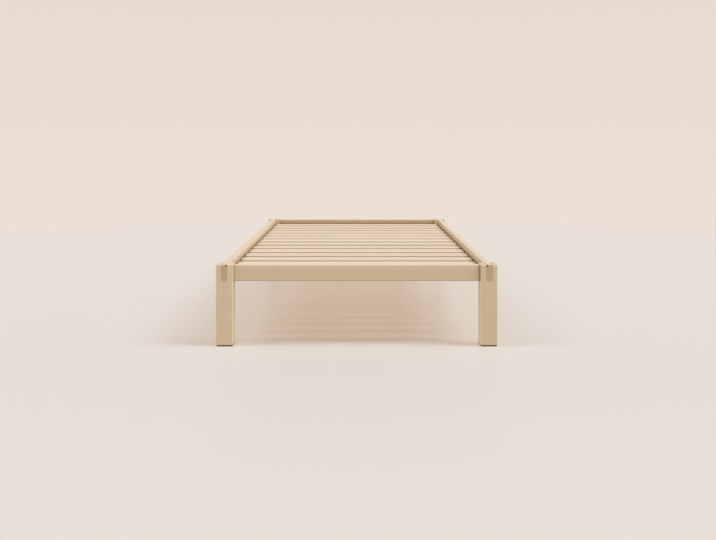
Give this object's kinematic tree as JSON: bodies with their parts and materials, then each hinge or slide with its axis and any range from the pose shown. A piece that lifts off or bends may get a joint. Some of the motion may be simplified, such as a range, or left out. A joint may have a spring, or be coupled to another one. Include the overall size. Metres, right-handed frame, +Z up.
{
  "type": "toddler floor bed",
  "caption": "Low solid-wood toddler bed frame: square legs, side rails tongued through the legs, set-back end rails and crosswise slats recessed for a mattress.",
  "frame": {"origin": "on the floor, under the middle of the bed", "axes": "+Z up, +Y along the bed from the foot end to the head end, +X across it to the right as seen from the foot end"},
  "size_m": [0.776, 1.48, 0.225],
  "materials": {
    "frame_wood": "pale softwood, clear matt lacquer",
    "slat_wood": "pale softwood, planed, clear matt lacquer",
    "dark_felt": "dense needled felt",
    "zinc_plated_steel": "bright zinc plate"
  },
  "bodies": {
    "root": {"corner_bolts": "zinc_plated_steel", "cross_dowels": "zinc_plated_steel", "end_rail_back": "frame_wood", "end_rail_front": "frame_wood", "foot_pad_back_left": "dark_felt", "foot_pad_back_right": "dark_felt", "foot_pad_front_left": "dark_felt", "foot_pad_front_right": "dark_felt", "ledger_screws": "zinc_plated_steel", "leg_back_left": "frame_wood", "leg_back_right": "frame_wood", "leg_front_left": "frame_wood", "leg_front_right": "frame_wood", "side_rail_left": "frame_wood", "side_rail_right": "frame_wood", "slat_01": "slat_wood", "slat_02": "slat_wood", "slat_03": "slat_wood", "slat_04": "slat_wood", "slat_05": "slat_wood", "slat_06": "slat_wood", "slat_07": "slat_wood", "slat_08": "slat_wood", "slat_09": "slat_wood", "slat_10": "slat_wood", "slat_11": "slat_wood", "slat_12": "slat_wood", "slat_13": "slat_wood", "slat_14": "slat_wood", "slat_ledger_left": "slat_wood", "slat_ledger_right": "slat_wood", "slat_screws": "zinc_plated_steel"}
  },
  "joints": []
}
